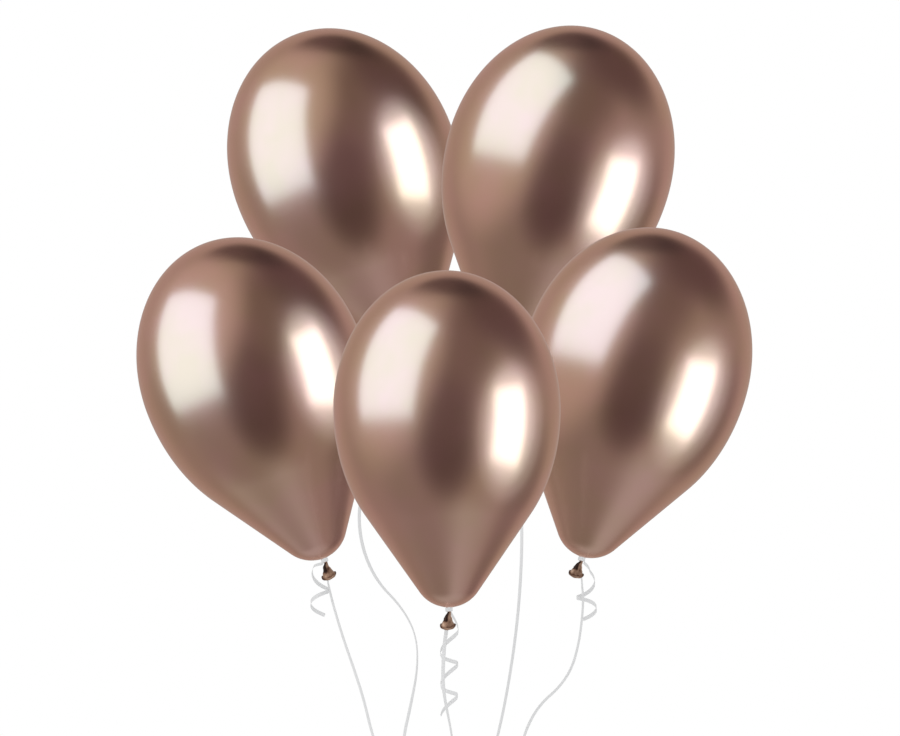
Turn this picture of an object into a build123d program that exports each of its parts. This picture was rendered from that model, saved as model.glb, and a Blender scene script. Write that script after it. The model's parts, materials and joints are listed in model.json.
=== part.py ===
"""A bunch of five tied latex balloons on curling ribbon, held where the ribbons gather.

Millimetres, +Z up, origin at the middle of the ribbons' gather knot. Each balloon has its own axis,
leaning in the XZ plane, and a pivot: the middle of the ribbon collar that closes its neck. A balloon
sways about Y and nods about X at its pivot, and spins about its own axis.
"""
import math
import os

from build123d import *

# Balloon shape, as shares of the balloon's largest radius
TOP_RISE = 1.223
LOWER_RISE = 1.355
NOSE_RADIUS = 0.312
CONE_HALF_ANGLE = 34.8
SKIN_WALL = 0.5

# Tied neck, along the balloon's axis from its pivot
NOSE_CLEARANCE = 3.2
NECK_RADIUS = 3.0
NECK_BOTTOM = -2.9
TAIL_LENGTH = 24.6
TAIL_WAIST_RADIUS = 3.2
TAIL_WAIST_LENGTH = 6.0
TAIL_MOUTH_RADIUS = 8.3
TAIL_RIM_HEIGHT = 1.5
TAIL_UPPER_SWELL = 0.2
TAIL_UPPER_PULL = 13.0
TAIL_LOWER_SWELL = 1.8
TAIL_LOWER_PULL = 7.0
LIP_RING_RADIUS = 9.7
LIP_BEAD_RADIUS = 1.3

# Ribbon collar and knot at each neck
COLLAR_RADIUS = 5.0
COLLAR_HALF_HEIGHT = 2.6
COLLAR_BORE_RADIUS = 3.3
HITCH_RADIUS = 2.4
HITCH_REACH = 7.5
HITCH_DROP = 1.5

# Ribbon
RIBBON_WIDTH = 5.0
CURL_DIAMETER = 25.0
ARC_SHARE = 0.45

# Gather knot and the put-away coil below it
KNOT_RADIUS = 8.5
KNOT_HALF_HEIGHT = 8.0
KNOT_ROUNDING = 3.0
COIL_CENTRE_DROP = 52.0
COIL_INNER_RADIUS = 24.0
COIL_OUTER_RADIUS = 32.4
COIL_HALF_WIDTH = 3.2
TIE_HALF_LENGTH = 3.0
TIE_THICKNESS = 1.1
TIE_CLEARANCE = 0.2
TIE_CORNER_RADIUS = 1.5
TIE_INNER_GAP = 0.4

# Each balloon: largest radius, pivot, lean of its top towards -X in degrees, and the side that its
# knot is on (+1 is +Y, -1 is -Y)
BALLOONS = {
    "front": {"radius": 150.0, "pivot": (-1.3, -230.0, 316.6), "lean": 0.6, "knot_side": 1},
    "low_left": {"radius": 153.1, "pivot": (-168.7, 10.0, 376.3), "lean": 20.8, "knot_side": 1},
    "low_right": {"radius": 153.5, "pivot": (176.8, -15.0, 378.7), "lean": -15.7, "knot_side": 1},
    "up_left": {"radius": 158.1, "pivot": (-52.8, 365.0, 654.7), "lean": 19.7, "knot_side": -1},
    "up_right": {"radius": 156.1, "pivot": (75.9, 210.0, 650.5), "lean": -15.4, "knot_side": -1},
}

# Streamer routes, from just below each knot down into the gather knot
STREAMERS = {
    "front": [
        (-1.3, -222.5, 312.2), (-2.5, -215.0, 301.0), (-5.0, -208.0, 287.0), (-7.5, -205.5, 269.5),
        (-9.0, -203.5, 245.5), (-9.5, -199.5, 218.5), (-6.0, -192.0, 191.5), (0.0, -178.0, 163.0),
        (4.5, -155.0, 133.0), (7.0, -125.0, 103.0), (6.5, -91.0, 74.5), (4.0, -58.0, 45.5),
        (1.5, -29.0, 20.0), (0.0, -5.0, 5.0),
    ],
    "low_left": [
        (-168.7, 17.5, 371.9), (-167.5, 23.0, 360.5), (-164.0, 30.0, 344.0), (-160.0, 32.0, 325.5),
        (-152.5, 32.5, 298.5), (-141.5, 31.0, 263.5), (-128.0, 28.0, 225.5), (-116.0, 24.0, 188.0),
        (-106.5, 19.0, 148.0), (-95.0, 14.0, 112.0), (-78.0, 9.0, 79.0), (-55.0, 5.0, 50.0),
        (-29.0, 2.0, 26.0), (-5.0, -0.5, 5.0),
    ],
    "low_right": [
        (176.8, -7.5, 374.3), (176.5, -2.0, 363.0), (177.5, 5.0, 346.0), (179.5, 8.0, 323.0),
        (177.5, 8.5, 295.0), (173.5, 7.5, 265.5), (164.5, 6.0, 232.0), (147.5, 5.0, 206.0),
        (122.0, 4.0, 184.0), (105.0, 3.0, 156.5), (94.0, 2.0, 121.5), (78.5, 1.0, 89.5),
        (56.0, 1.0, 58.5), (30.5, 0.5, 32.0), (5.0, -0.5, 5.0),
    ],
    "up_left": [
        (-52.8, 357.5, 650.3), (-52.0, 352.0, 637.0), (-51.5, 344.0, 616.0), (-58.0, 330.0, 588.0),
        (-81.5, 304.0, 543.0), (-110.0, 272.0, 495.0), (-126.0, 240.0, 447.5), (-122.0, 205.0, 393.5),
        (-101.0, 175.0, 345.0), (-65.5, 150.0, 310.0), (-45.5, 128.0, 272.5), (-43.5, 106.0, 228.5),
        (-53.0, 84.0, 179.5), (-64.0, 66.0, 132.0), (-63.0, 52.0, 92.0), (-47.0, 36.0, 56.0),
        (-24.0, 18.0, 28.0), (-3.0, 4.5, 5.0),
    ],
    "up_right": [
        (75.9, 202.5, 646.1), (74.5, 197.0, 633.0), (73.0, 189.0, 613.0), (77.0, 178.5, 583.0),
        (86.5, 162.0, 537.5), (94.5, 141.0, 483.0), (98.0, 118.0, 422.0), (96.5, 97.0, 359.0),
        (91.5, 79.0, 294.5), (83.0, 63.0, 231.5), (71.5, 48.0, 168.5), (58.0, 36.0, 113.5),
        (39.5, 24.5, 67.0), (19.5, 12.5, 32.5), (3.0, 4.5, 5.0),
    ],
}

# Curled ends: the uncurled lead from the knot, then the curl's axis from top to bottom
CURL_LEADS = {
    "front": [(1.3, -220.5, 312.0), (6.0, -212.0, 304.0), (10.5, -201.0, 294.0), (9.0, -191.0, 283.5)],
    "low_left": [(-171.5, 19.5, 371.9), (-177.0, 26.0, 365.0), (-183.5, 34.0, 356.0), (-183.0, 42.0, 345.5)],
    "low_right": [(179.8, -5.5, 374.0), (187.0, 0.5, 367.5), (194.5, 9.0, 357.0), (193.0, 18.0, 345.5)],
    "up_left": [(-55.8, 355.5, 649.5), (-63.0, 351.5, 641.5), (-72.0, 350.0, 632.5)],
    "up_right": [(78.9, 200.5, 645.5), (86.5, 197.5, 637.5), (96.0, 196.5, 628.5)],
}
CURL_AXES = {
    "front": [(-1.0, -185.5, 283.0), (-1.0, -164.5, 173.0)],
    "low_left": [(-175.5, 47.0, 345.0), (-176.5, 50.0, 299.5)],
    "low_right": [(184.0, 25.5, 345.0), (188.0, 27.5, 290.0)],
    "up_left": [(-77.0, 352.0, 632.0), (-79.0, 353.0, 566.0)],
    "up_right": [(101.0, 198.5, 628.0), (103.0, 200.0, 574.0)],
}

# The five ribbons together, from inside the gather knot to where they meet the coil's outer turn
HANK_LEAD = [(-1.5, 0.0, -5.0), (-7.5, 0.0, -15.5), (-22.0, 0.0, -30.1)]


def pivot_plane(balloon):
    """Plane through the balloon's axis: its X is outwards and its Y is up along the axis."""
    lean = math.radians(balloon["lean"])
    return Plane(
        origin=balloon["pivot"],
        x_dir=(math.cos(lean), 0, math.sin(lean)),
        z_dir=(0, -1, 0),
    )


def spin_axis(balloon):
    """The balloon's own axis, upwards through its pivot."""
    plane = pivot_plane(balloon)
    return Axis(plane.origin, plane.y_dir)


def knot_middle(balloon):
    """Middle of the ribbon knot beside the balloon's collar."""
    x, y, z = balloon["pivot"]
    return (x, y + balloon["knot_side"] * HITCH_REACH, z - HITCH_DROP)


def skin_levels(radius):
    """Height of the equator above the pivot, and of the nose circle's middle below the equator."""
    half = math.radians(CONE_HALF_ANGLE)
    lower = LOWER_RISE * radius
    nose = NOSE_RADIUS * radius
    turn = math.atan(lower / radius * math.tan(half))
    edge_x = radius * math.cos(turn)
    edge_z = -lower * math.sin(turn)
    nose_drop = (edge_x * math.cos(half) - nose) / math.sin(half) - edge_z
    return NOSE_CLEARANCE + nose_drop + nose, nose_drop


def oval_arc(middle, width, height, start, end):
    """A quarter or less of an upright oval, from start to end in degrees, as one cubic curve."""
    first = math.radians(start)
    last = math.radians(end)
    reach = 4 / 3 * math.tan((last - first) / 4)
    from_point = Vector(middle) + Vector(width * math.cos(first), height * math.sin(first))
    to_point = Vector(middle) + Vector(width * math.cos(last), height * math.sin(last))
    leave = Vector(-width * math.sin(first), height * math.cos(first)) * reach
    arrive = Vector(-width * math.sin(last), height * math.cos(last)) * reach
    return Bezier(from_point, from_point + leave, to_point - arrive, to_point)


def skin_outline(radius, wall, foot_radius):
    """Half outline from the top of the axis round to the nose, a wall's thickness inside the skin.

    A half ellipse above the equator, an ellipse below it down to a straight cone, and a round nose
    that ends foot_radius from the axis.
    """
    half = math.radians(CONE_HALF_ANGLE)
    equator, nose_drop = skin_levels(radius)
    width = radius - wall
    lower = LOWER_RISE * radius - wall
    nose = NOSE_RADIUS * radius - wall
    turn = math.degrees(math.atan(lower / width * math.tan(half)))
    nose_middle = (0, equator - nose_drop)
    foot_angle = -math.degrees(math.acos(foot_radius / nose))
    crown = oval_arc((0, equator), width, TOP_RISE * radius - wall, 0, 90)
    belly = oval_arc((0, equator), width, lower, -turn, 0)
    tip = CenterArc(nose_middle, nose, foot_angle, -CONE_HALF_ANGLE - foot_angle)
    Line(tip @ 1, belly @ 0)
    return crown @ 1, tip @ 0


def make_skin(balloon):
    """The inflated shell, closed at its neck by the plug of latex that the ribbon squeezes."""
    with BuildPart() as skin:
        with BuildSketch(pivot_plane(balloon)):
            with BuildLine():
                top, foot = skin_outline(balloon["radius"], 0, NECK_RADIUS)
                Polyline(foot, (NECK_RADIUS, NECK_BOTTOM), (0, NECK_BOTTOM), top)
            make_face()
        revolve(axis=spin_axis(balloon))
        with BuildSketch(pivot_plane(balloon)):
            with BuildLine():
                top, foot = skin_outline(balloon["radius"], SKIN_WALL, 0)
                Line(foot, top)
            make_face()
        revolve(axis=spin_axis(balloon), mode=Mode.SUBTRACT)
    return skin


def make_tail(balloon):
    """The flared neck below the ribbon, from a narrow waist to a wide mouth."""
    mouth = NECK_BOTTOM - TAIL_LENGTH
    waist = (TAIL_WAIST_RADIUS, NECK_BOTTOM - TAIL_WAIST_LENGTH)
    rim = (TAIL_MOUTH_RADIUS, mouth + TAIL_RIM_HEIGHT)
    with BuildPart() as tail:
        with BuildSketch(pivot_plane(balloon)):
            with BuildLine():
                Line((NECK_RADIUS, NECK_BOTTOM), waist)
                Bezier(
                    waist,
                    (TAIL_WAIST_RADIUS + TAIL_UPPER_SWELL, NECK_BOTTOM - TAIL_UPPER_PULL),
                    (TAIL_MOUTH_RADIUS - TAIL_LOWER_SWELL, mouth + TAIL_LOWER_PULL),
                    rim,
                )
                Polyline(
                    rim,
                    (TAIL_MOUTH_RADIUS, mouth),
                    (0, mouth),
                    (0, NECK_BOTTOM),
                    (NECK_RADIUS, NECK_BOTTOM),
                )
            make_face()
        revolve(axis=spin_axis(balloon))
    return tail


def make_lip(balloon):
    """The rolled bead round the tail's mouth."""
    with BuildPart() as lip:
        with BuildSketch(pivot_plane(balloon)):
            with Locations((LIP_RING_RADIUS, NECK_BOTTOM - TAIL_LENGTH)):
                Circle(LIP_BEAD_RADIUS)
        revolve(axis=spin_axis(balloon))
    return lip


def make_collar(balloon):
    """The ribbon turns round the neck: a band of a ball centred on the pivot."""
    rim = math.sqrt(COLLAR_RADIUS**2 - COLLAR_HALF_HEIGHT**2)
    with BuildPart() as collar:
        with BuildSketch(pivot_plane(balloon)):
            with BuildLine():
                ThreePointArc((rim, -COLLAR_HALF_HEIGHT), (COLLAR_RADIUS, 0), (rim, COLLAR_HALF_HEIGHT))
                Polyline(
                    (rim, COLLAR_HALF_HEIGHT),
                    (COLLAR_BORE_RADIUS, COLLAR_HALF_HEIGHT),
                    (COLLAR_BORE_RADIUS, -COLLAR_HALF_HEIGHT),
                    (rim, -COLLAR_HALF_HEIGHT),
                )
            make_face()
        revolve(axis=spin_axis(balloon))
    return collar


def make_hitch(balloon):
    """The ribbon's knot, a small ball beside the collar."""
    with BuildPart() as hitch:
        with Locations(knot_middle(balloon)):
            Sphere(HITCH_RADIUS)
    return hitch


def arc_radii(route):
    """The radius of the arc at each corner of a ribbon's route, as large as its two runs allow."""
    points = [Vector(*point) for point in route]
    radii = []
    for before, corner, after in zip(points, points[1:], points[2:]):
        run_in = corner - before
        run_out = after - corner
        half_turn = math.radians(run_in.get_angle(run_out)) / 2
        radii.append(ARC_SHARE * min(run_in.length, run_out.length) / math.tan(half_turn))
    return radii


def make_cord(name, route, diameter):
    """A tube of straight runs joined by tangent arcs, with its arcs, length and volume printed."""
    radii = arc_radii(route)
    with BuildPart() as cord:
        with BuildLine() as path:
            FilletPolyline(*route, radius=radii)
        length = path.wire().length
        with BuildSketch(Plane(origin=path.wire() @ 0, z_dir=path.wire() % 0)):
            Circle(diameter / 2)
        sweep()
    share = cord.part.volume / (math.pi * (diameter / 2) ** 2 * length)
    print(name, "length", round(length, 1), "share", round(share, 4), "arcs", [round(r) for r in radii])
    return cord


def make_curl(axis_points):
    """The outer shape of a curled end: one fat tube along the curl's axis."""
    top, bottom = (Vector(*point) for point in axis_points)
    with BuildPart() as curl:
        with BuildSketch(Plane(origin=top, z_dir=bottom - top)):
            Circle(CURL_DIAMETER / 2)
        extrude(amount=(bottom - top).length)
    return curl


def make_gather_knot():
    """The knot that ties the five ribbons together."""
    with BuildPart() as gather_knot:
        with BuildSketch(Plane.XY.offset(-KNOT_HALF_HEIGHT)):
            Circle(KNOT_RADIUS)
        extrude(amount=2 * KNOT_HALF_HEIGHT)
        fillet(gather_knot.edges().filter_by(GeomType.CIRCLE), radius=KNOT_ROUNDING)
    return gather_knot


def make_ribbon_hank():
    """The outer shape of the coil of put-away ribbon, wound flat about an axis along Y."""
    with BuildPart() as ribbon_hank:
        with BuildSketch(Plane.XZ.offset(-COIL_HALF_WIDTH)):
            with Locations((0, -COIL_CENTRE_DROP)):
                Circle(COIL_OUTER_RADIUS)
                Circle(COIL_INNER_RADIUS, mode=Mode.SUBTRACT)
        extrude(amount=2 * COIL_HALF_WIDTH)
    return ribbon_hank


def make_hank_tie():
    """The short ribbon round the coil's turns, at the coil's top."""
    inner = COIL_INNER_RADIUS - TIE_INNER_GAP
    outer = COIL_OUTER_RADIUS + TIE_CLEARANCE
    side = COIL_HALF_WIDTH + TIE_CLEARANCE
    middle = (0, -COIL_CENTRE_DROP + (inner + outer) / 2)
    with BuildPart() as hank_tie:
        with BuildSketch(Plane.YZ.offset(-TIE_HALF_LENGTH)):
            with Locations(middle):
                RectangleRounded(
                    2 * (side + TIE_THICKNESS),
                    outer - inner + 2 * TIE_THICKNESS,
                    TIE_CORNER_RADIUS,
                )
                Rectangle(2 * side, outer - inner, mode=Mode.SUBTRACT)
        extrude(amount=2 * TIE_HALF_LENGTH)
    return hank_tie


def save(piece, name):
    """Label a finished piece and write it to its own file."""
    piece.part.label = name
    export_step(piece.part, f"parts/{name}.step")


os.makedirs("parts", exist_ok=True)

for name, balloon in BALLOONS.items():
    save(make_skin(balloon), f"skin_{name}")
    save(make_tail(balloon), f"tail_{name}")
    save(make_lip(balloon), f"lip_{name}")
    save(make_collar(balloon), f"collar_{name}")
    save(make_hitch(balloon), f"hitch_{name}")
    save(make_cord(f"streamer_{name}", STREAMERS[name], RIBBON_WIDTH), f"streamer_{name}")
    save(make_cord(f"curl_lead_{name}", CURL_LEADS[name], RIBBON_WIDTH), f"curl_lead_{name}")
    save(make_curl(CURL_AXES[name]), f"curl_{name}")

save(make_gather_knot(), "gather_knot")
save(make_cord("hank_lead", HANK_LEAD, RIBBON_WIDTH), "hank_lead")
save(make_ribbon_hank(), "ribbon_hank")
save(make_hank_tie(), "hank_tie")
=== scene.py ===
"""A bunch of five rose-gold chrome latex balloons on white curling ribbon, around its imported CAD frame."""
import json
import math

import bmesh
import bpy
from mathutils import Matrix, Vector, noise


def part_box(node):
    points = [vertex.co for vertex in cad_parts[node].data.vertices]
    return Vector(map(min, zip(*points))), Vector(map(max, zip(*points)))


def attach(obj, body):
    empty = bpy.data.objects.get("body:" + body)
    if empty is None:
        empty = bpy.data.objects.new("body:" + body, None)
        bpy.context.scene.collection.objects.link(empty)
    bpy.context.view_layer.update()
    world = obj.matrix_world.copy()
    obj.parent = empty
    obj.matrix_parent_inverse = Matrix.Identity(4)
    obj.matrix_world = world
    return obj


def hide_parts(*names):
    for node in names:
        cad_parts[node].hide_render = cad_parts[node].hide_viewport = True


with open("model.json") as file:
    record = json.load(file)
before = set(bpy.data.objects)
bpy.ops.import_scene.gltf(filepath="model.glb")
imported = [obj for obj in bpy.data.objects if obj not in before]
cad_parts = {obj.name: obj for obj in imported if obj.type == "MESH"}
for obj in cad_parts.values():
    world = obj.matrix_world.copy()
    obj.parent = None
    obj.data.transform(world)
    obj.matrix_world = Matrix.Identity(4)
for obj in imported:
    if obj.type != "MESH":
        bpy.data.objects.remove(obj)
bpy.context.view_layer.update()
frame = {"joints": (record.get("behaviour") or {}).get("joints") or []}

MM = 0.001

# Balloon shape, as shares of the balloon's largest radius
TOP_RISE = 1.223
LOWER_RISE = 1.355
NOSE_RADIUS = 0.312
CONE_HALF_ANGLE = math.radians(34.8)

# Tied neck, in metres along the balloon's axis from its pivot
NOSE_CLEARANCE = 3.2 * MM
NECK_RADIUS = 2.9 * MM
NECK_BOTTOM = -2.9 * MM
MOUTH = -20.5 * MM
MOUTH_SLANT = 0.55
SLANT_BLEND = 2 * MM
DEEP_FOLD_ANGLE = math.radians(-140)
LIP_RING_RADIUS = 9.6 * MM
# Where the lip's painted highlight is brightest, round the neck; away from it the lip gets painted shade
LIP_PAINTED_HIGHLIGHT_ANGLE = math.radians(-76)
MOUTH_CORNER_LIFT = 1.3 * MM
TAIL_ASIDE = -2.0 * MM
# Where the line of painted shade just above the lip lies and how wide it is, as shares of the neck from its
# top
SHADED_CREASE_PLACE = 0.93
SHADED_CREASE_WIDTH = 0.05
# How far folds and crumples move the neck's surface, as shares of its radius
WAIST_FOLD = 0.24
MOUTH_FOLD = 0.07
INNER_FOLD = 0.12
CRUMPLE = 0.22
MIDDLE_FLATTENING = 0.22
LIP_BEAD_RADIUS = 1.2 * MM
HITCH_REACH = 7.5 * MM
HITCH_DROP = 1.5 * MM

# Ribbon
RIBBON_WIDTH = 5.0 * MM
RIBBON_THICKNESS = 0.14 * MM
STACK_PITCH = 0.4 * MM

# Coil of put-away ribbon, below the gather knot
COIL_CENTRE = Vector((0, 0, -52 * MM))
COIL_OUTER_RADIUS = 31.8 * MM
COIL_TURN_PITCH = 2.0 * MM
COIL_START = math.radians(135)
COIL_POINTS_PER_TURN = 16

# Each balloon's lean of its top towards -X in degrees, the side its knot is on, its place in the
# stack of ribbons, the turns its ribbon makes in the coil, and its ribbon's length below the knot
BALLOONS = {
    "front": {"lean": 0.6, "knot_side": 1, "stack": 0, "turns": 4.1, "streamer": 1.14},
    "low_left": {"lean": 20.8, "knot_side": 1, "stack": 1, "turns": 3.9, "streamer": 1.12},
    "low_right": {"lean": -15.7, "knot_side": 1, "stack": 2, "turns": 3.9, "streamer": 1.12},
    "up_right": {"lean": -15.4, "knot_side": -1, "stack": 3, "turns": 2.5, "streamer": 1.17},
    "up_left": {"lean": 19.7, "knot_side": -1, "stack": 4, "turns": 2.0, "streamer": 1.18},
}

# How far each hanging ribbon's face is turned towards the camera: pairs of height in millimetres and
# turn in degrees, from the top down
FACE_TURNS = {
    "front": [(312, 80), (250, 76), (155, 30), (50, 0)],
    "low_left": [(372, 10), (320, 38), (160, 44), (50, 0)],
    "low_right": [(374, 16), (320, 36), (160, 46), (50, 0)],
    "up_left": [(650, 90), (600, 90), (520, 60), (400, 58), (265, 22), (150, 54), (50, 0)],
    "up_right": [(646, 90), (600, 85), (520, 50), (400, 54), (155, 46), (50, 0)],
}

# Streamer routes in millimetres, from just below each knot down into the gather knot
STREAMERS = {
    "front": [
        (-1.3, -222.5, 312.2), (-2.5, -215.0, 301.0), (-5.0, -208.0, 287.0), (-7.5, -205.5, 269.5),
        (-9.0, -203.5, 245.5), (-9.5, -199.5, 218.5), (-6.0, -192.0, 191.5), (0.0, -178.0, 163.0),
        (4.5, -155.0, 133.0), (7.0, -125.0, 103.0), (6.5, -91.0, 74.5), (4.0, -58.0, 45.5),
        (1.5, -29.0, 20.0), (0.0, -5.0, 5.0),
    ],
    "low_left": [
        (-168.7, 17.5, 371.9), (-167.5, 23.0, 360.5), (-164.0, 30.0, 344.0), (-160.0, 32.0, 325.5),
        (-152.5, 32.5, 298.5), (-141.5, 31.0, 263.5), (-128.0, 28.0, 225.5), (-116.0, 24.0, 188.0),
        (-106.5, 19.0, 148.0), (-95.0, 14.0, 112.0), (-78.0, 9.0, 79.0), (-55.0, 5.0, 50.0),
        (-29.0, 2.0, 26.0), (-5.0, -0.5, 5.0),
    ],
    "low_right": [
        (176.8, -7.5, 374.3), (176.5, -2.0, 363.0), (177.5, 5.0, 346.0), (179.5, 8.0, 323.0),
        (177.5, 8.5, 295.0), (173.5, 7.5, 265.5), (164.5, 6.0, 232.0), (147.5, 5.0, 206.0),
        (122.0, 4.0, 184.0), (105.0, 3.0, 156.5), (94.0, 2.0, 121.5), (78.5, 1.0, 89.5),
        (56.0, 1.0, 58.5), (30.5, 0.5, 32.0), (5.0, -0.5, 5.0),
    ],
    "up_left": [
        (-52.8, 357.5, 650.3), (-52.0, 352.0, 637.0), (-51.5, 344.0, 616.0), (-58.0, 330.0, 588.0),
        (-81.5, 304.0, 543.0), (-110.0, 272.0, 495.0), (-126.0, 240.0, 447.5), (-122.0, 205.0, 393.5),
        (-101.0, 175.0, 345.0), (-65.5, 150.0, 310.0), (-45.5, 128.0, 272.5), (-43.5, 106.0, 228.5),
        (-53.0, 84.0, 179.5), (-64.0, 66.0, 132.0), (-63.0, 52.0, 92.0), (-47.0, 36.0, 56.0),
        (-24.0, 18.0, 28.0), (-3.0, 4.5, 5.0),
    ],
    "up_right": [
        (75.9, 202.5, 646.1), (74.5, 197.0, 633.0), (73.0, 189.0, 613.0), (77.0, 178.5, 583.0),
        (86.5, 162.0, 537.5), (94.5, 141.0, 483.0), (98.0, 118.0, 422.0), (96.5, 97.0, 359.0),
        (91.5, 79.0, 294.5), (83.0, 63.0, 231.5), (71.5, 48.0, 168.5), (58.0, 36.0, 113.5),
        (39.5, 24.5, 67.0), (19.5, 12.5, 32.5), (3.0, 4.5, 5.0),
    ],
}
HANK_LEAD = [(-1.5, 0.0, -5.0), (-7.5, 0.0, -15.5), (-22.0, 0.0, -30.1)]
STACK_DIRECTION = Vector((0.70, 0, -0.71))

# Curled ends in millimetres: the uncurled lead from the knot, then the curl's axis from top to bottom
CURL_LEADS = {
    "front": [(1.3, -220.5, 312.0), (6.0, -212.0, 304.0), (10.5, -201.0, 294.0), (9.0, -191.0, 283.5)],
    "low_left": [(-171.5, 19.5, 371.9), (-177.0, 26.0, 365.0), (-183.5, 34.0, 356.0), (-183.0, 42.0, 345.5)],
    "low_right": [(179.8, -5.5, 374.0), (187.0, 0.5, 367.5), (194.5, 9.0, 357.0), (193.0, 18.0, 345.5)],
    "up_left": [(-55.8, 355.5, 649.5), (-63.0, 351.5, 641.5), (-72.0, 350.0, 632.5)],
    "up_right": [(78.9, 200.5, 645.5), (86.5, 197.5, 637.5), (96.0, 196.5, 628.5)],
}
CURL_AXES = {
    "front": [(-1.0, -185.5, 283.0), (-1.0, -164.5, 173.0)],
    "low_left": [(-175.5, 47.0, 345.0), (-176.5, 50.0, 299.5)],
    "low_right": [(184.0, 25.5, 345.0), (188.0, 27.5, 290.0)],
    "up_left": [(-77.0, 352.0, 632.0), (-79.0, 353.0, 566.0)],
    "up_right": [(101.0, 198.5, 628.0), (103.0, 200.0, 574.0)],
}
# Each curl's helix: where it starts round its axis in degrees from +X, its turns (negative is the
# other way round), the share of its axis that it spans, its radius at its top and its end, how far it
# stands to +X of its axis, how far its turns slant up to +X, how far they dip at the back and how far
# its top is drawn up to the knot, all in millimetres, and its ribbon's length in metres
CURL_TURNS = {
    "front": {
        "start": -5, "turns": 2.47, "span": (0.0, 0.96), "radii": (12.2, 11.2), "aside": 0,
        "slant": 3.0, "dip": 0, "rise": 2, "length": 0.258,
    },
    "low_left": {
        "start": 220, "turns": -1.406, "span": (-0.289, 0.877), "radii": (12.2, 14.2), "aside": 1.3,
        "slant": 0, "dip": 5, "rise": 9, "length": 0.158,
    },
    "low_right": {
        "start": -63, "turns": 1.513, "span": (-0.06, 0.811), "radii": (13.0, 13.2), "aside": -1.8,
        "slant": 0, "dip": 4.6, "rise": 10, "length": 0.164,
    },
    "up_left": {
        "start": 270, "turns": -2.08, "span": (-0.05, 0.96), "radii": (12.2, 11.2), "aside": 0,
        "slant": 1.0, "dip": 0, "rise": 3, "length": 0.195,
    },
    "up_right": {
        "start": -90, "turns": 1.88, "span": (-0.05, 0.96), "radii": (12.2, 11.2), "aside": 0,
        "slant": 1.0, "dip": 0, "rise": 3, "length": 0.177,
    },
}
LEAD_CLEARANCE = 3 * MM
CURL_FACE_TOP = 8 * MM

# Camera: level, far off and long, as a product photographer's
CAMERA_DISTANCE = 12.0
CAMERA_HEIGHT = 0.6355
CAMERA_LENS = 356.85
FLOOR_HEIGHT = -1.1


def joint_place(name):
    """A joint's pivot in metres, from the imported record."""
    return Vector(next(joint["pos_m"] for joint in frame["joints"] if joint["name"] == name))


def balloon_radius(name):
    """The balloon's largest radius, from its CAD box across Y, where it doesn't lean."""
    low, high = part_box(f"skin_{name}")
    return (high.y - low.y) / 2


def balloon_matrix(name):
    """Row frame from the balloon's own frame: its pivot at zero and its axis along Z."""
    lean = math.radians(BALLOONS[name]["lean"])
    return Matrix.Translation(joint_place(f"spin_{name}")) @ Matrix.Rotation(-lean, 4, "Y")


def skin_levels(radius):
    """Height of the equator above the pivot, and of the nose circle's middle below the equator."""
    lower = LOWER_RISE * radius
    nose = NOSE_RADIUS * radius
    turn = math.atan(lower / radius * math.tan(CONE_HALF_ANGLE))
    edge = radius * math.cos(turn) * math.cos(CONE_HALF_ANGLE)
    nose_drop = (edge - nose) / math.sin(CONE_HALF_ANGLE) + lower * math.sin(turn)
    return NOSE_CLEARANCE + nose_drop + nose, nose_drop


# ---------------------------------------------------------------- meshes


def smooth_object(name, vertices, faces, materials):
    """A new smooth-shaded mesh object in the row frame, with its faces turned outwards."""
    mesh = bpy.data.meshes.new(name)
    mesh.from_pydata(vertices, [], faces)
    made = bmesh.new()
    made.from_mesh(mesh)
    bmesh.ops.recalc_face_normals(made, faces=made.faces)
    made.to_mesh(mesh)
    made.free()
    mesh.polygons.foreach_set("use_smooth", [True] * len(mesh.polygons))
    for material in materials:
        mesh.materials.append(material)
    thing = bpy.data.objects.new(name, mesh)
    bpy.context.scene.collection.objects.link(thing)
    return thing


def ring_faces(rings, columns, closed_rings=False):
    """Quads between rings of points, each ring closed on itself."""
    faces = []
    last = rings if closed_rings else rings - 1
    for ring in range(last):
        following = (ring + 1) % rings
        for column in range(columns):
            beside = (column + 1) % columns
            faces.append((
                ring * columns + column,
                ring * columns + beside,
                following * columns + beside,
                following * columns + column,
            ))
    return faces


def capped_faces(rings, columns):
    """Ring quads with a face over the first and the last ring."""
    faces = ring_faces(rings, columns)
    faces.append(tuple(reversed(range(columns))))
    faces.append(tuple((rings - 1) * columns + column for column in range(columns)))
    return faces


def store(thing, label, values):
    """Keeps one number for each vertex, for the materials."""
    attribute = thing.data.attributes.new(label, "FLOAT", "POINT")
    attribute.data.foreach_set("value", values)


def around(count):
    """Angles evenly round a circle."""
    return [2 * math.pi * step / count for step in range(count)]


def steps(first, last, count):
    """Evenly spaced values from first to last."""
    return [first + (last - first) * step / (count - 1) for step in range(count)]


def smoothstep(low, high, value):
    """0 below low, 1 above high, and smooth between them."""
    share = min(1.0, max(0.0, (value - low) / (high - low)))
    return share * share * (3 - 2 * share)


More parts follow.
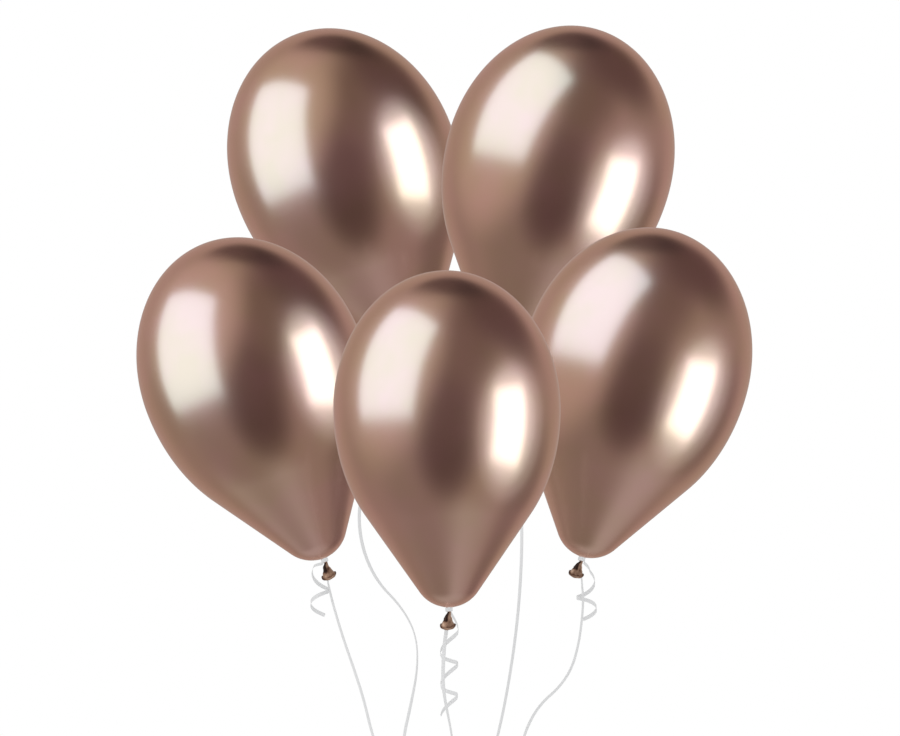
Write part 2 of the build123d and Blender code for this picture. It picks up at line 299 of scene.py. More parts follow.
def skin_profile(radius):
    """Half outline of the inflated skin from its top to its neck: pairs of radius and height."""
    equator, nose_drop = skin_levels(radius)
    nose = NOSE_RADIUS * radius
    turn = math.atan(LOWER_RISE * math.tan(CONE_HALF_ANGLE))
    points = []
    for angle in steps(math.pi / 2 - 0.012, 0, 60):
        points.append((radius * math.cos(angle), equator + TOP_RISE * radius * math.sin(angle)))
    for angle in steps(0, turn, 34)[1:]:
        points.append((radius * math.cos(angle), equator - LOWER_RISE * radius * math.sin(angle)))
    nose_height = equator - nose_drop
    tip_edge = (nose * math.cos(CONE_HALF_ANGLE), nose_height - nose * math.sin(CONE_HALF_ANGLE))
    belly_edge = points[-1]
    for share in steps(0, 1, 16)[1:]:
        points.append(tuple(a + (b - a) * share for a, b in zip(belly_edge, tip_edge)))
    neck_angle = math.acos(1.45 * NECK_RADIUS / nose)
    for angle in steps(CONE_HALF_ANGLE, neck_angle, 26)[1:]:
        points.append((nose * math.cos(angle), nose_height - nose * math.sin(angle)))
    for share in steps(0, 1, 6)[1:]:
        curve = math.sin(share * math.pi / 2)
        start = 1.45 * NECK_RADIUS
        points.append((start + (NECK_RADIUS - start) * curve, NOSE_CLEARANCE - 1.5 * MM * share))
    points.append((NECK_RADIUS, 0))
    points.append((NECK_RADIUS, NECK_BOTTOM))
    return points


def build_skin(name, materials):
    """The inflated skin, drawn in to fine pleats where the ribbon closes its neck."""
    radius = balloon_radius(name)
    columns = 160
    pleats = 13
    pleat_depth = 0.25 * MM
    pleat_reach = 16 * MM
    vertices = []
    profile = skin_profile(radius)
    for out, height in profile:
        near = 1 - smoothstep(NECK_RADIUS, pleat_reach, out) if height < radius else 0.0
        for angle in around(columns):
            wander = 0.5 * math.sin(2 * angle + 0.7) + 0.3 * math.sin(5 * angle)
            pleat = math.cos(pleats * angle + wander) * near * near
            held = min(1.0, max(0.0, (height - NECK_BOTTOM) / (4 * MM)))
            spread = out * (1 + 0.05 * pleat * held)
            lift = pleat_depth * pleat * held
            vertices.append((spread * math.cos(angle), spread * math.sin(angle), height + lift))
    skin = smooth_object(f"{name}_skin", vertices, capped_faces(len(profile), columns), materials)
    skin.data.transform(balloon_matrix(name))
    skin.visible_glossy = False
    skin.visible_diffuse = False
    return skin


def deep_fold(angle, height):
    """1 in the deep fold at the left of the tied-off neck's upper part, and 0 away from it."""
    nearness = smoothstep(0.35, 0.8, math.cos(angle - DEEP_FOLD_ANGLE))
    return nearness * (1 - smoothstep(0.55, 0.72, tail_share(height)))


def fold_wave(angle, height):
    """How far a fold of the tied-off neck stands out at an angle and height, from -1 to 1."""
    twist = 60 * (height - MOUTH)
    wave = math.cos(3 * angle + twist + 0.9) + 0.45 * math.cos(5 * angle - 0.6 * twist + 1.1)
    deep = deep_fold(angle, height)
    return wave / 1.5 * (1 - deep) - deep


def tail_share(height):
    """0 at the tied-off neck's top and 1 at its mouth."""
    return (NECK_BOTTOM - height) / (NECK_BOTTOM - MOUTH)


def tail_radius(height):
    """The tied-off neck's radius at a height: a narrow waist that flares into a bell."""
    share = tail_share(height)
    return (2.3 + 6.3 * share ** 0.95 + 0.8 * smoothstep(0.85, 1.0, share)) * MM


def droop(out, angle, height, flatness=1.0):
    """A point of the tied-off neck: its mouth lowered in front and its corners raised."""
    x = out * math.cos(angle)
    y = out * math.sin(angle) * flatness
    share = tail_share(height)
    in_front = (y - math.hypot(y, SLANT_BLEND)) / 2
    lowered = MOUTH_SLANT * in_front * smoothstep(0.1, 1.0, share)
    raised = MOUTH_CORNER_LIFT * math.cos(angle) ** 2 * smoothstep(0.5, 1.0, share)
    return (x + TAIL_ASIDE * smoothstep(0.0, 0.3, share), y, height + lowered + raised)


def build_tail(name, materials):
    """The neck below the ribbon: twisted at its waist, folded, flared, and open at its mouth."""
    columns = 120
    inner_top = -9 * MM
    inner_least = 0.8 * MM
    wall = 1.1 * MM
    rings = []
    for height in steps(NECK_BOTTOM, MOUTH, 44):
        depth = WAIST_FOLD - (WAIST_FOLD - MOUTH_FOLD) * smoothstep(0.1, 1, tail_share(height))
        rings.append((tail_radius(height), height, depth))
    for height in steps(MOUTH - 0.3 * MM, inner_top, 26):
        rings.append((max(inner_least, tail_radius(height) - wall), height, INNER_FOLD))
    vertices = []
    painted_fold_shade = []
    for out, height, depth in rings:
        share = tail_share(height)
        calm = 1 - 0.6 * smoothstep(0.5, 0.75, share)
        in_the_middle = smoothstep(0.1, 0.5, share) * (1 - smoothstep(0.7, 1.0, share))
        flatness = 1 - MIDDLE_FLATTENING * in_the_middle
        # Painted shade: a dark line just above the lip, with no crease in the shape
        painted_crease_shade = math.exp(-((share - SHADED_CREASE_PLACE) / SHADED_CREASE_WIDTH) ** 2)
        for angle in around(columns):
            fold = fold_wave(angle, height)
            across = Vector((1.9 * math.cos(angle), 1.9 * math.sin(angle), 230 * height + len(name)))
            crumple = noise.noise(across) * smoothstep(0.0, 0.5, share) * calm
            spread = out * (1 + depth * fold + CRUMPLE * crumple)
            vertices.append(droop(spread, angle, height, flatness))
            # Painted shade: darker where folds and crumples dip in, in the deep fold and in the line above
            # the lip, lighter on their ridges
            shade = 0.2 * painted_crease_shade + 0.4 * deep_fold(angle, height)
            painted_fold_shade.append(0.5 + 0.4 * fold * calm + 0.5 * crumple - shade)
    tail = smooth_object(f"{name}_tail", vertices, capped_faces(len(rings), columns), materials)
    # The "fold" attribute carries this painted shade into the neck's colour
    store(tail, "fold", painted_fold_shade)
    tail.data.transform(balloon_matrix(name))
    tail.visible_glossy = False
    return tail


def build_lip(name, materials):
    """The rolled bead round the mouth, following the folds."""
    columns = 120
    sides = 14
    vertices = []
    painted_highlight_and_shade = []
    for angle in around(columns):
        fold = fold_wave(angle, MOUTH)
        # Painted highlight on the lip's front and painted shade at its corners
        tone = 0.15 + 0.45 * max(0.0, math.cos(angle - LIP_PAINTED_HIGHLIGHT_ANGLE)) ** 3
        ring = LIP_RING_RADIUS * (0.97 + 0.05 * fold)
        bead = LIP_BEAD_RADIUS * (1 + 0.12 * math.sin(7 * angle + 1.0))
        height = MOUTH + 0.3 * MM * math.sin(3 * angle)
        for side in around(sides):
            out = ring + bead * math.cos(side)
            x, y, middle = droop(out, angle, height)
            vertices.append((x, y, middle + bead * math.sin(side)))
            painted_highlight_and_shade.append(tone)
    lip = smooth_object(f"{name}_lip", vertices, ring_faces(columns, sides, closed_rings=True), materials)
    store(lip, "fold", painted_highlight_and_shade)
    lip.data.transform(balloon_matrix(name))
    lip.visible_glossy = False
    return lip


def cord_tube(name, path, bead, sides, closed, materials):
    """A thin round tube along points, for bunched ribbon in knots and turns."""
    vertices = []
    count = len(path)
    normal = Vector((0.3, 0.2, 1)).normalized()
    for index, point in enumerate(path):
        ahead = path[(index + 1) % count] if closed or index < count - 1 else point
        behind = path[index - 1] if closed or index > 0 else point
        along = (ahead - behind).normalized()
        normal = (normal - along * normal.dot(along)).normalized()
        cross = along.cross(normal)
        for side in around(sides):
            vertices.append(point + (normal * math.cos(side) + cross * math.sin(side)) * bead)
    faces = ring_faces(count, sides, closed_rings=closed)
    if not closed:
        faces = capped_faces(count, sides)
    tube = smooth_object(name, vertices, faces, materials)
    add_ribbon_map(tube, [index / sides for index in range(len(vertices))])
    return tube


def build_collar(name, materials):
    """The ribbon's turns round the neck, bunched to a cord."""
    turns = 4
    points = []
    for step in range(turns * 28 + 1):
        share = step / (turns * 28)
        angle = 2 * math.pi * turns * share + math.pi / 2
        height = (-2.0 + 4.9 * share + 0.25 * math.sin(3 * angle)) * MM
        points.append(Vector((4.1 * MM * math.cos(angle), 4.1 * MM * math.sin(angle), height)))
    collar = cord_tube(f"{name}_collar", points, 0.85 * MM, 10, False, materials)
    collar.data.transform(balloon_matrix(name))
    return collar


def build_hitch(name, materials):
    """The ribbon's knot beside the collar: a small trefoil."""
    points = []
    for angle in around(60):
        out = (1.15 + 0.55 * math.cos(3 * angle)) * MM
        points.append(Vector((
            out * math.cos(2 * angle),
            0.75 * MM * math.sin(3 * angle),
            out * math.sin(2 * angle),
        )))
    hitch = cord_tube(f"{name}_hitch", points, 0.72 * MM, 10, True, materials)
    reach = Vector((0, BALLOONS[name]["knot_side"] * HITCH_REACH, -HITCH_DROP))
    hitch.data.transform(Matrix.Translation(joint_place(f"sway_{name}") + reach))
    return hitch


def add_ribbon_map(thing, across):
    """A UV map whose U runs across the ribbon, for its lengthwise ribs, and V along it."""
    layer = thing.data.uv_layers.new(name="ribbon")
    values = []
    for loop in thing.data.loops:
        values += [across[loop.vertex_index], loop.vertex_index * 0.01]
    layer.data.foreach_set("uv", values)


# ---------------------------------------------------------------- ribbons


def route_line(control_points):
    """Points along the smooth line of a route's control points."""
    curve = bpy.data.curves.new("route", "CURVE")
    curve.dimensions = "3D"
    spline = curve.splines.new("NURBS")
    spline.points.add(len(control_points) - 1)
    for control, point in zip(spline.points, control_points):
        control.co = (*point, 1)
    spline.order_u = 3
    spline.use_endpoint_u = True
    spline.resolution_u = 6
    holder = bpy.data.objects.new("route", curve)
    line = bpy.data.meshes.new_from_object(holder)
    points = [vertex.co.copy() for vertex in line.vertices]
    bpy.data.meshes.remove(line)
    bpy.data.objects.remove(holder)
    bpy.data.curves.remove(curve)
    return points


def tangents(path):
    """The direction of travel at each point of a path."""
    found = []
    for index in range(len(path)):
        behind = path[max(0, index - 1)]
        ahead = path[min(len(path) - 1, index + 1)]
        found.append((ahead - behind).normalized())
    return found


def ribbon_strip(name, path, widths, materials, closed=False):
    """A flat ribbon along a path: widths holds the direction of its width at each point."""
    slices = 6
    crown = 0.25 * MM
    along = tangents(path)
    vertices = []
    across = []
    for point, direction, hint in zip(path, along, widths):
        wide = (hint - direction * hint.dot(direction)).normalized()
        face = direction.cross(wide)
        for side in (1, -1):
            for cut in range(slices + 1):
                share = cut / slices if side == 1 else 1 - cut / slices
                offset = (share - 0.5) * RIBBON_WIDTH
                bow = crown * (1 - (2 * share - 1) ** 2)
                vertices.append(point + wide * offset + face * (bow + side * RIBBON_THICKNESS / 2))
                across.append(share)
    columns = 2 * (slices + 1)
    faces = ring_faces(len(path), columns, closed_rings=closed)
    if not closed:
        faces = capped_faces(len(path), columns)
    strip = smooth_object(name, vertices, faces, materials)
    add_ribbon_map(strip, across)
    return strip


def millimetres(points):
    """Points given in millimetres, as vectors in metres."""
    return [Vector(point) * MM for point in points]


def coil_points(facts):
    """A ribbon's turns in the coil, from the outside in, beside the other ribbons of the stack."""
    points = []
    count = round(facts["turns"] * COIL_POINTS_PER_TURN)
    for step in range(1, count + 1):
        turned = 2 * math.pi * step / COIL_POINTS_PER_TURN
        out = COIL_OUTER_RADIUS - facts["stack"] * STACK_PITCH - COIL_TURN_PITCH * turned / (2 * math.pi)
        angle = COIL_START + turned
        points.append(COIL_CENTRE + Vector((out * math.cos(angle), 0, out * math.sin(angle))))
    return points


def face_turn(name, height):
    """How far a hanging ribbon's face is turned towards the camera at a height."""
    stops = FACE_TURNS[name]
    turn = stops[0][1]
    for (upper, upper_turn), (lower, lower_turn) in zip(stops, stops[1:]):
        share = smoothstep(lower * MM, upper * MM, height)
        if height < upper * MM:
            turn = lower_turn + (upper_turn - lower_turn) * share
    return math.radians(turn)


def build_streamer(name, materials):
    """The long ribbon: hanging from its balloon, through the gather knot and into the coil."""
    facts = BALLOONS[name]
    shift = STACK_DIRECTION * STACK_PITCH * facts["stack"]
    lead = [point + shift for point in millimetres(HANK_LEAD)]
    controls = millimetres(STREAMERS[name]) + lead + coil_points(facts)
    path = route_line(controls)
    directions = tangents(path)
    widths = []
    coil_axis = Vector((0, 1, 0))
    for point, direction in zip(path, directions):
        low = coil_axis - direction * direction.dot(coil_axis)
        side = direction.cross(low).normalized()
        turn = face_turn(name, point.z)
        widths.append(low.normalized() * math.cos(turn) + side * math.sin(turn))
    streamer = ribbon_strip(f"{name}_streamer", path, widths, materials)
    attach(streamer, "ribbons")
    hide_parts(f"streamer_{name}")
    return streamer


def build_curl(name, materials):
    """The ribbon's short end: a stretch clear of the tail, then a loose helix."""
    facts = CURL_TURNS[name]
    top, bottom = millimetres(CURL_AXES[name])
    axis = (bottom - top).normalized()
    out_x = (Vector((1, 0, 0)) - axis * axis.x).normalized()
    out_y = axis.cross(out_x) * -1
    per_turn = 14
    count = round(abs(facts["turns"]) * per_turn)
    sense = math.copysign(1, facts["turns"])
    first, last = facts["span"]
    wide_start, wide_end = facts["radii"]
    helix = []
    for step in range(count + 1):
        share = step / count
        angle = math.radians(facts["start"]) + sense * 2 * math.pi * step / per_turn
        reach = (wide_start + (wide_end - wide_start) * share) * MM
        sink = top + (bottom - top) * (first + (last - first) * share)
        early = max(0.0, 1 - 2 * step / per_turn)
        drawn = facts["rise"] * early * early
        lift = facts["slant"] * math.cos(angle) - facts["dip"] * math.sin(angle) + drawn
        sink += Vector((facts["aside"], -0.7 * drawn, lift)) * MM
        helix.append(sink + (out_x * math.cos(angle) + out_y * math.sin(angle)) * reach)
    lead = millimetres(CURL_LEADS[name])
    lead = lead[:1] + [point for point in lead[1:] if point.z > helix[0].z + LEAD_CLEARANCE]
    path = route_line(lead + helix)
    directions = tangents(path)
    widths = [None] * len(path)
    carried = upright = axis * -1
    for index in reversed(range(len(path))):
        direction = directions[index]
        flat = (upright - direction * direction.dot(upright)).normalized()
        if path[index].z < top.z + CURL_FACE_TOP or index == len(path) - 1:
            carried = flat
        carried = (carried - direction * carried.dot(direction)).normalized()
        widths[index] = (carried + flat * 0.25).normalized()
    curl = ribbon_strip(f"{name}_curl", path, widths, materials)
    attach(curl, "ribbons")
    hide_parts(f"curl_{name}", f"curl_lead_{name}")
    return curl


def build_gather_knot(materials):
    """The knot of the five ribbons: a woven band of ribbon round a folded core."""
    columns = 60
    rings = []
    for height in steps(-7.6 * MM, 7.6 * MM, 24):
        share = height / (7.6 * MM)
        rings.append((height, (2.6 + 3.6 * math.sqrt(max(0.0, 1 - share * share))) * MM))
    vertices = []
    for height, out in rings:
        for angle in around(columns):
            fold = 1 + 0.08 * math.cos(10 * angle + 300 * height)
            vertices.append((out * fold * math.cos(angle), out * fold * math.sin(angle), height))
    core = smooth_object("gather_knot_core", vertices, capped_faces(len(rings), columns), materials)
    add_ribbon_map(core, [index % columns / columns * 4 for index in range(len(vertices))])
    path = []
    widths = []
    for angle in around(160):
        height = 3.4 * MM * math.sin(3 * angle)
        out = (6.9 + 0.75 * math.cos(6 * angle)) * MM
        path.append(Vector((out * math.cos(2 * angle), out * math.sin(2 * angle), height)))
        widths.append(Vector((0, 0, 1)))
    wrap = ribbon_strip("gather_knot_wrap", path, widths, materials, closed=True)
    for piece in (core, wrap):
        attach(piece, "ribbons")
    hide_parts("gather_knot", "hank_lead")
    return core, wrap


def build_hank_tie(materials):
    """The short ribbon round the coil's turns at their top."""
    low = COIL_CENTRE.z + 22.4 * MM
    high = COIL_CENTRE.z + 33.2 * MM
    middle = (low + high) / 2
    path = []
    widths = []
    for angle in around(72):
        square_y = math.copysign(abs(math.cos(angle)) ** 0.5, math.cos(angle))
        square_z = math.copysign(abs(math.sin(angle)) ** 0.5, math.sin(angle))
        path.append(Vector((0, 3.7 * MM * square_y, middle + (high - low) / 2 * square_z)))
        widths.append(Vector((1, 0, 0)))
    tie = ribbon_strip("hank_tie_band", path, widths, materials, closed=True)
    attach(tie, "ribbons")
    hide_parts("hank_tie", "ribbon_hank")
    return tie


# ---------------------------------------------------------------- materials


class Shader:
    """A node material in the making: node() adds a node, link() joins two sockets."""

    def __init__(self, name):
        self.material = bpy.data.materials.new(name)
        self.material.use_nodes = True
        self.tree = self.material.node_tree
        self.surface = self.tree.nodes["Principled BSDF"]

    def node(self, kind, **values):
        made = self.tree.nodes.new(kind)
        for key, value in values.items():
            if hasattr(made, key):
                setattr(made, key, value)
            else:
                made.inputs[key.replace("_", " ")].default_value = value
        return made

    def link(self, source, target):
        self.tree.links.new(source, target)


def ramp(shader, source, stops):
    """A colour ramp of (place, colour) stops, driven by source."""
    made = shader.node("ShaderNodeValToRGB")
    shader.link(source, made.inputs["Fac"])
    elements = made.color_ramp.elements
    while len(elements) < len(stops):
        elements.new(0.5)
    for element, (place, colour) in zip(elements, stops):
        element.position = place
        element.color = (*colour, 1)
    return made.outputs["Color"]


EDGE_TINT = (0.93, 0.80, 0.73, 1)


def chrome_latex():
    """Stretched latex with a rose-gold chrome finish: a soft mirror, faintly clouded."""
    shader = Shader("chrome_latex")
    place = shader.node("ShaderNodeTexCoord").outputs["Object"]
    cloud = shader.node("ShaderNodeTexNoise", Scale=9.0, Detail=3.0, Roughness=0.55)
    shader.link(place, cloud.inputs["Vector"])
    grain = shader.node("ShaderNodeTexNoise", Scale=70.0, Detail=2.0)
    shader.link(place, grain.inputs["Vector"])
    tint = ramp(shader, cloud.outputs["Fac"], [
        (0.36, (0.602, 0.370, 0.272)),
        (0.64, (0.642, 0.366, 0.308)),
    ])
    shader.link(tint, shader.surface.inputs["Base Color"])
    rough = shader.node("ShaderNodeMapRange")
    rough.inputs["To Min"].default_value = 0.22
    rough.inputs["To Max"].default_value = 0.26
    shader.link(cloud.outputs["Fac"], rough.inputs["Value"])
    shader.link(rough.outputs["Result"], shader.surface.inputs["Roughness"])
    bump = shader.node("ShaderNodeBump", Strength=0.03, Distance=0.0004)
    shader.link(grain.outputs["Fac"], bump.inputs["Height"])
    shader.link(bump.outputs["Normal"], shader.surface.inputs["Normal"])
    shader.surface.inputs["Metallic"].default_value = 1.0
    shader.surface.inputs["Specular Tint"].default_value = EDGE_TINT
    return shader.material


def neck_latex():
    """Unstretched latex of the neck: darker copper, almost black-brown in its folds from painted shade, with
    a painted highlight on the lip.
    """
    shader = Shader("neck_latex")
    # The "fold" attribute holds painted shade and a painted highlight, not a colour of the latex
    fold = shader.node("ShaderNodeAttribute", attribute_name="fold")
    place = shader.node("ShaderNodeTexCoord").outputs["Object"]
    cloud = shader.node("ShaderNodeTexNoise", Scale=220.0, Detail=3.0)
    shader.link(place, cloud.inputs["Vector"])
    blend = shader.node("ShaderNodeMath", operation="MULTIPLY_ADD")
    shader.link(cloud.outputs["Fac"], blend.inputs[0])
    blend.inputs[1].default_value = 0.5
    shader.link(fold.outputs["Fac"], blend.inputs[2])
    # From near-black painted shade to light copper painted highlight, clouded by random tone
    colour = ramp(shader, blend.outputs["Value"], [
        (0.28, (0.030, 0.010, 0.006)),
        (0.5, (0.15, 0.070, 0.042)),
        (0.74, (0.34, 0.205, 0.14)),
        (1.0, (0.58, 0.40, 0.30)),
    ])
    shader.link(colour, shader.surface.inputs["Base Color"])
    rough = shader.node("ShaderNodeMapRange")
    rough.inputs["To Min"].default_value = 0.42
    rough.inputs["To Max"].default_value = 0.56
    shader.link(cloud.outputs["Fac"], rough.inputs["Value"])
    shader.link(rough.outputs["Result"], shader.surface.inputs["Roughness"])
    bump = shader.node("ShaderNodeBump", Strength=0.25, Distance=0.0003)
    shader.link(cloud.outputs["Fac"], bump.inputs["Height"])
    shader.link(bump.outputs["Normal"], shader.surface.inputs["Normal"])
    shader.surface.inputs["Metallic"].default_value = 0.55
    return shader.material


def satin_ribbon():
    """White curling ribbon: satin, with fine ribs along its length and painted shade in their grooves."""
    shader = Shader("satin_ribbon")
    across = shader.node("ShaderNodeSeparateXYZ")
    shader.link(shader.node("ShaderNodeTexCoord").outputs["UV"], across.inputs["Vector"])
    ribs = shader.node("ShaderNodeMath", operation="MULTIPLY")
    shader.link(across.outputs["X"], ribs.inputs[0])
    ribs.inputs[1].default_value = 2 * math.pi * 9
    wave = shader.node("ShaderNodeMath", operation="SINE")
    shader.link(ribs.outputs["Value"], wave.inputs[0])
    # Painted shade: grey where the rib bump dips, lighter on the ribs
    tone = ramp(shader, wave.outputs["Value"], [(0.0, (0.66, 0.665, 0.67)), (1.0, (0.81, 0.81, 0.815))])
    shader.link(tone, shader.surface.inputs["Base Color"])
    rough = shader.node("ShaderNodeMapRange")
    rough.inputs["From Min"].default_value = -1.0
    rough.inputs["To Min"].default_value = 0.55
    rough.inputs["To Max"].default_value = 0.42
    shader.link(wave.outputs["Value"], rough.inputs["Value"])
    shader.link(rough.outputs["Result"], shader.surface.inputs["Roughness"])
    bump = shader.node("ShaderNodeBump", Strength=0.2, Distance=0.0001)
    shader.link(wave.outputs["Value"], bump.inputs["Height"])
    shader.link(bump.outputs["Normal"], shader.surface.inputs["Normal"])
    shader.surface.inputs["Specular IOR Level"].default_value = 0.2
    return shader.material


def pale_floor():
    """A pale studio floor whose edge glows with painted light, an emission that brightens it into the white
    surroundings.
    """
    shader = Shader("pale_floor")
    place = shader.node("ShaderNodeTexCoord").outputs["Object"]
    reach = shader.node("ShaderNodeVectorMath", operation="LENGTH")
    shader.link(place, reach.inputs[0])
    fade = shader.node("ShaderNodeMapRange", interpolation_type="SMOOTHSTEP")
    fade.inputs["From Min"].default_value = 0.8
    fade.inputs["From Max"].default_value = 2.6
    shader.link(reach.outputs["Value"], fade.inputs["Value"])
    shader.surface.inputs["Base Color"].default_value = (0.86, 0.86, 0.86, 1)
    shader.surface.inputs["Roughness"].default_value = 0.9
    # Painted light: the floor glows white towards its edge
    glow = shader.node("ShaderNodeEmission")
    mix = shader.node("ShaderNodeMixShader")
    shader.link(fade.outputs["Result"], mix.inputs["Fac"])
    shader.link(shader.surface.outputs["BSDF"], mix.inputs[1])
    shader.link(glow.outputs["Emission"], mix.inputs[2])
    output = shader.tree.nodes["Material Output"]
    shader.link(mix.outputs["Shader"], output.inputs["Surface"])
    return shader.material


# ---------------------------------------------------------------- camera, surroundings and light


def heading(azimuth, elevation):
    """Unit vector: azimuth 0 is towards the camera, 90 is to its right, in degrees."""
    turn = math.radians(azimuth)
    rise = math.radians(elevation)
    return Vector((math.cos(rise) * math.sin(turn), -math.cos(rise) * math.cos(turn), math.sin(rise)))


def make_camera():
    """The photographer's camera, level and straight on."""
    camera = bpy.data.objects.new("camera", bpy.data.cameras.new("camera"))
    camera.data.lens = CAMERA_LENS
    camera.data.sensor_width = 36
    camera.data.clip_end = 60
    camera.location = (0, -CAMERA_DISTANCE, CAMERA_HEIGHT)
    camera.rotation_euler = (math.radians(90), 0, 0)
    bpy.context.scene.collection.objects.link(camera)
    bpy.context.scene.camera = camera


# Soft regions of the surroundings: azimuth, elevation, inner and outer angle in degrees, colour
SURROUNDINGS = [
    (180, 0, 34, 66, (0.56, 0.53, 0.51)),
    (0, -90, 12, 45, (0.59, 0.65, 0.66)),
    (-45, -45, 14, 50, (0.345, 0.335, 0.315)),
    (0, -24, 8, 40, (0.125, 0.096, 0.098)),
    (0, 12, 12, 44, (0.155, 0.120, 0.125)),
    (25, 48, 16, 44, (0.215, 0.180, 0.172)),
    (108, 52, 14, 42, (0.14, 0.105, 0.11)),
    (112, -26, 4, 30, (0.27, 0.24, 0.235)),
    (168, 62, 6, 24, (0.06, 0.045, 0.05)),
    (-164, 64, 3, 20, (0.13, 0.10, 0.105)),
    (-72, 30, 34, 66, (0.66, 0.65, 0.59)),
]
SURROUNDING_BASE = (0.415, 0.395, 0.37)


def make_world():
    """White behind the object, and soft light and dark regions for the chrome to mirror."""
    world = bpy.data.worlds.new("studio")
    bpy.context.scene.world = world
    world.use_nodes = True
    tree = world.node_tree
    tree.nodes.clear()
    direction = tree.nodes.new("ShaderNodeTexCoord").outputs["Generated"]
    colour = None
    for azimuth, elevation, inner, outer, tone in SURROUNDINGS:
        towards = tree.nodes.new("ShaderNodeVectorMath")
        towards.operation = "DOT_PRODUCT"
        tree.links.new(direction, towards.inputs[0])
        towards.inputs[1].default_value = heading(azimuth, elevation)
        share = tree.nodes.new("ShaderNodeMapRange")
        share.interpolation_type = "SMOOTHSTEP"
        share.inputs["From Min"].default_value = math.cos(math.radians(outer))
        share.inputs["From Max"].default_value = math.cos(math.radians(inner))
        tree.links.new(towards.outputs["Value"], share.inputs["Value"])
        mix = tree.nodes.new("ShaderNodeMix")
        mix.data_type = "RGBA"
        tree.links.new(share.outputs["Result"], mix.inputs["Factor"])
        if colour is None:
            mix.inputs["A"].default_value = (*SURROUNDING_BASE, 1)
        else:
            tree.links.new(colour, mix.inputs["A"])
        mix.inputs["B"].default_value = (*tone, 1)
        colour = mix.outputs["Result"]
    mirrored = tree.nodes.new("ShaderNodeBackground")
    tree.links.new(colour, mirrored.inputs["Color"])
    seen = tree.nodes.new("ShaderNodeBackground")
    seen.inputs["Color"].default_value = (1, 1, 1, 1)
    choice = tree.nodes.new("ShaderNodeMixShader")
    tree.links.new(tree.nodes.new("ShaderNodeLightPath").outputs["Is Glossy Ray"], choice.inputs["Fac"])
    tree.links.new(seen.outputs["Background"], choice.inputs[1])
    tree.links.new(mirrored.outputs["Background"], choice.inputs[2])
    tree.links.new(choice.outputs["Shader"], tree.nodes.new("ShaderNodeOutputWorld").inputs["Surface"])


PANEL_DISTANCE = 4.0
# Softboxes round each balloon: shape, azimuth and elevation of the middle, azimuth and elevation
# that the panel's face is square to, width and height as shares of the distance, radiance, colour
SOFTBOXES = {
    "window": ("RECTANGLE", -73, 35, -57, 24, 1.36, 1.43, 2.12, (0.415, 0.775, 1.0)),
    "strip": ("RECTANGLE", 67, -7, 67, -7, 0.66, 0.71, 3.0, (0.68, 0.93, 1.0)),
    "inner_glow": ("ELLIPSE", 70, -7, 70, -7, 1.15, 1.15, 0.62, (0.55, 0.86, 1.0)),
    "outer_glow": ("ELLIPSE", 72, -9, 72, -9, 1.70, 1.45, 0.30, (0.65, 0.88, 1.0)),
}


def make_panel(name, shape, middle, target_face, size, radiance, colour):
    """An area light at middle, of a size (width, height), facing along minus target_face."""
    width, height = size
    fill = math.pi / 4 if shape == "ELLIPSE" else 1
    data = bpy.data.lights.new(name, "AREA")
    data.shape = shape
    data.size = width
    data.size_y = height
    data.color = colour
    data.energy = radiance * width * height * fill * math.pi
    panel = bpy.data.objects.new(name, data)
    right = Vector((0, 0, 1)).cross(target_face).normalized()
    up = target_face.cross(right)
    turn = Matrix((right, up, target_face)).transposed().to_4x4()
    panel.matrix_world = Matrix.Translation(middle) @ turn
    panel.visible_camera = False
    bpy.context.scene.collection.objects.link(panel)
    return panel


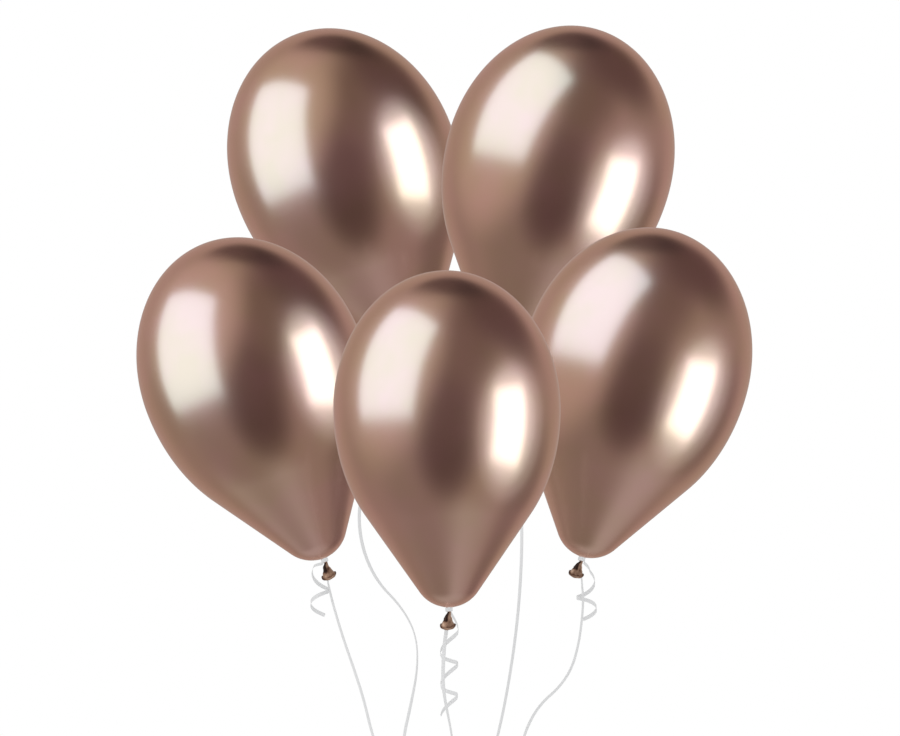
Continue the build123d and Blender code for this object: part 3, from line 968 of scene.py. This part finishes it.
def light_balloon(name, skin):
    """Softboxes for one balloon alone, turned with its lean so that each is lit alike."""
    lit = bpy.data.collections.new(f"lit_{name}")
    lit.objects.link(skin)
    lean = Matrix.Rotation(math.radians(-BALLOONS[name]["lean"]), 3, "Y")
    radius = balloon_radius(name)
    middle = balloon_matrix(name) @ Vector((0, 0, skin_levels(radius)[0]))
    for label, facts in SOFTBOXES.items():
        shape, azimuth, elevation, face_azimuth, face_elevation, width, height, radiance, colour = facts
        place = middle + lean @ heading(azimuth, elevation) * PANEL_DISTANCE
        face = heading(face_azimuth, face_elevation)
        size = (width * PANEL_DISTANCE, height * PANEL_DISTANCE)
        panel = make_panel(f"{label}_{name}", shape, place, face, size, radiance, colour)
        turned = lean.to_4x4() @ panel.matrix_world.to_3x3().to_4x4()
        panel.matrix_world = Matrix.Translation(place) @ turned
        panel.light_linking.receiver_collection = lit


def light_the_rest(small_pieces, floor):
    """A soft overhead key for the ribbons, necks and floor."""
    lit = bpy.data.collections.new("lit_rest")
    for piece in small_pieces + [floor]:
        lit.objects.link(piece)
    middle = Vector((-1.5, -2.0, 3.2))
    key = make_panel("key", "RECTANGLE", middle, heading(-37, 50), (2.2, 2.2), 2.2, (1, 1, 1))
    key.light_linking.receiver_collection = lit


def make_floor():
    """A pale round floor well below the held bunch, left out of the chrome's reflections."""
    floor = smooth_object(
        "floor", [(3.2 * math.cos(angle), 3.2 * math.sin(angle), 0) for angle in around(96)],
        [tuple(range(96))], [pale_floor()],
    )
    floor.location.z = FLOOR_HEIGHT
    floor.visible_glossy = False
    return floor


# ---------------------------------------------------------------- the object


def main():
    make_camera()
    ribbon = [satin_ribbon()]
    small_pieces = []
    for name in BALLOONS:
        small_pieces.append(build_streamer(name, ribbon))
        small_pieces.append(build_curl(name, ribbon))
    small_pieces += build_gather_knot(ribbon)
    small_pieces.append(build_hank_tie(ribbon))
    skins = {}
    chrome = [chrome_latex()]
    neck = [neck_latex()]
    for name in BALLOONS:
        skin = build_skin(name, chrome)
        tail = build_tail(name, neck)
        lip = build_lip(name, neck)
        collar = build_collar(name, ribbon)
        hitch = build_hitch(name, ribbon)
        made = [
            (skin, f"balloon_{name}", f"skin_{name}", "chrome_latex"),
            (tail, f"balloon_{name}", f"tail_{name}", "neck_latex"),
            (lip, f"balloon_{name}", f"lip_{name}", "neck_latex"),
            (collar, f"collar_{name}", f"collar_{name}", "ribbon"),
            (hitch, f"hitch_{name}", f"hitch_{name}", "ribbon"),
        ]
        for piece, body, node, slot in made:
            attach(piece, body)
            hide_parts(node)
        skins[name] = skin
        small_pieces += [tail, lip, collar, hitch]
    make_world()
    floor = make_floor()
    for name, skin in skins.items():
        light_balloon(name, skin)
    light_the_rest(small_pieces, floor)
    bpy.context.scene.view_settings.view_transform = "Standard"


main()
